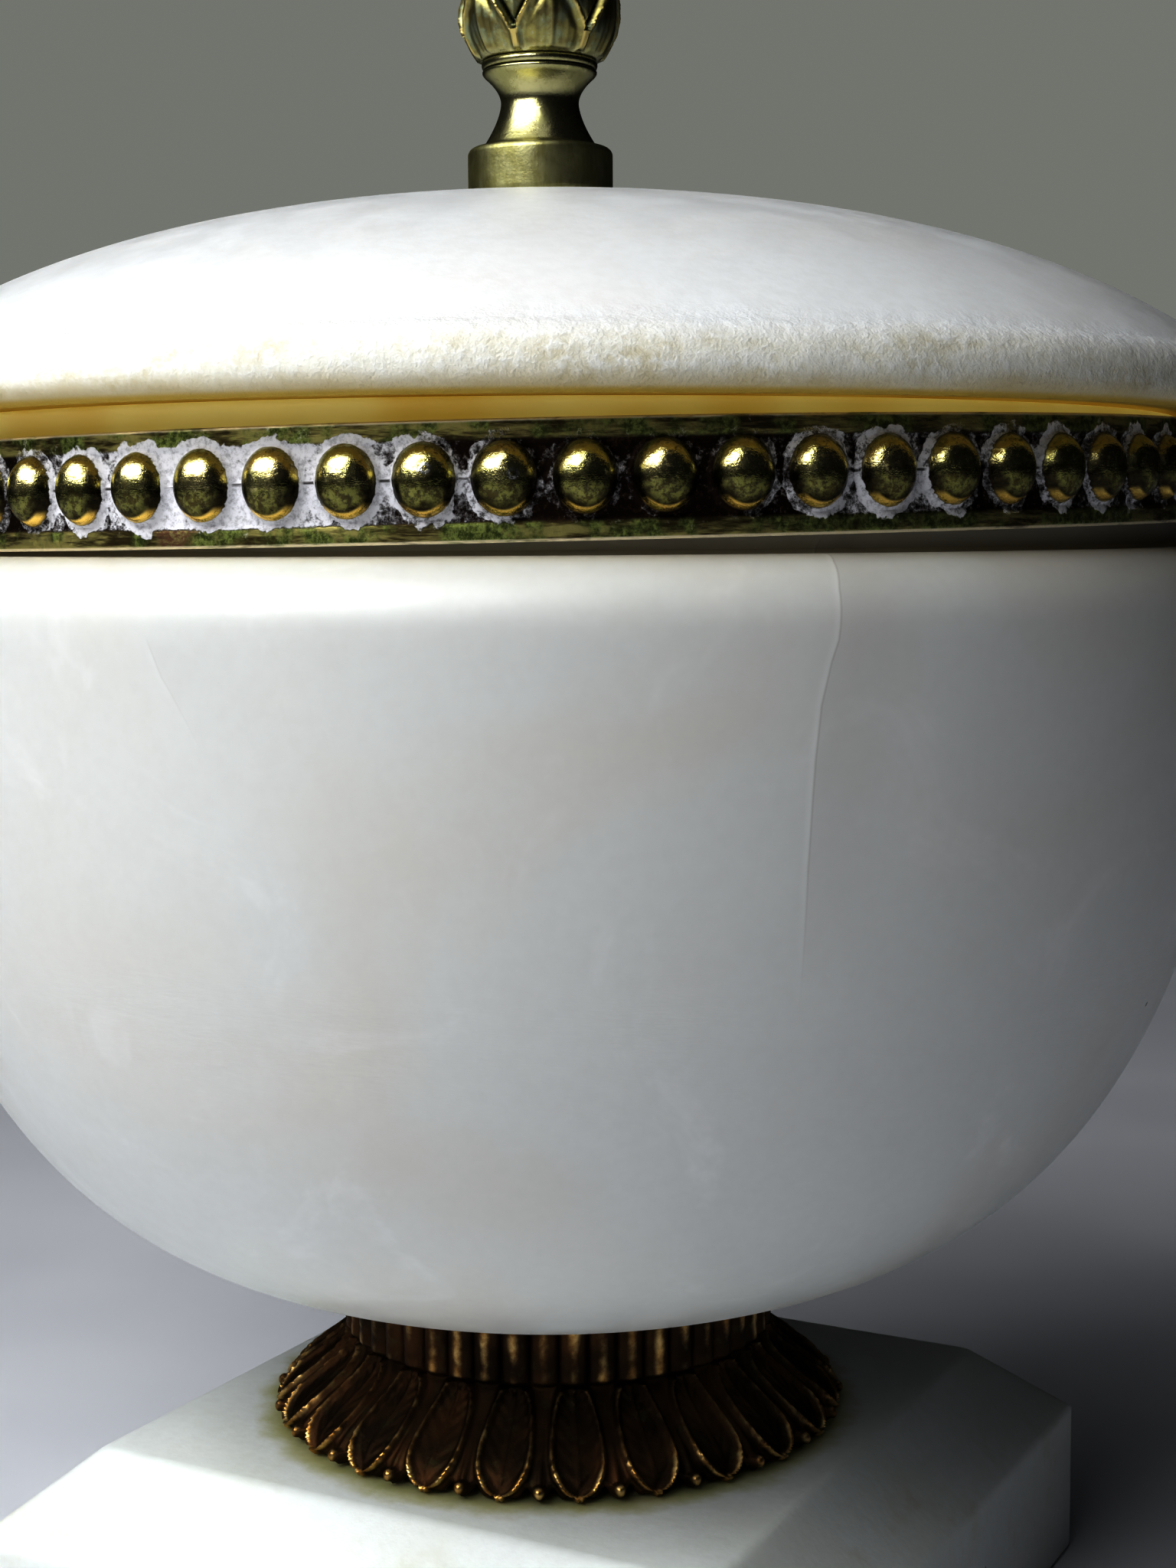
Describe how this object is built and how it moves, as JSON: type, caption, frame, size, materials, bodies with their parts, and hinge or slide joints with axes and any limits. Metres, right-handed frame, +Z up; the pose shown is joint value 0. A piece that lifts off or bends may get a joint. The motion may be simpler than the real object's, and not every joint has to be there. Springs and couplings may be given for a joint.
{
  "type": "lidded alabaster bonbonniere",
  "caption": "Round lidded stone sweet box with a beaded brass band, leaf foot and bud finial, on a square chamfered plinth.",
  "frame": {"origin": "centre of the plinth's underside", "axes": "+Z up the turned axis, +X and +Y square to the plinth's sides"},
  "size_m": [0.1406, 0.1406, 0.178],
  "materials": {
    "alabaster": "soft polish, white with faint warm clouds",
    "plinth_alabaster": "soft polish, faintly green, stained at the foot",
    "foot_brass": "dark brown patina, gilt left on raised edges",
    "band_brass": "dark green-brown patina, bright bead tops, dried polish in the recesses",
    "finial_brass": "olive-gold, softly polished, dark in the leaf grooves"
  },
  "bodies": {
    "root": {"plinth": "plinth_alabaster", "foot": "foot_brass", "bowl": "alabaster", "beaded_band": "band_brass", "lid": "alabaster", "finial": "finial_brass"}
  },
  "joints": []
}
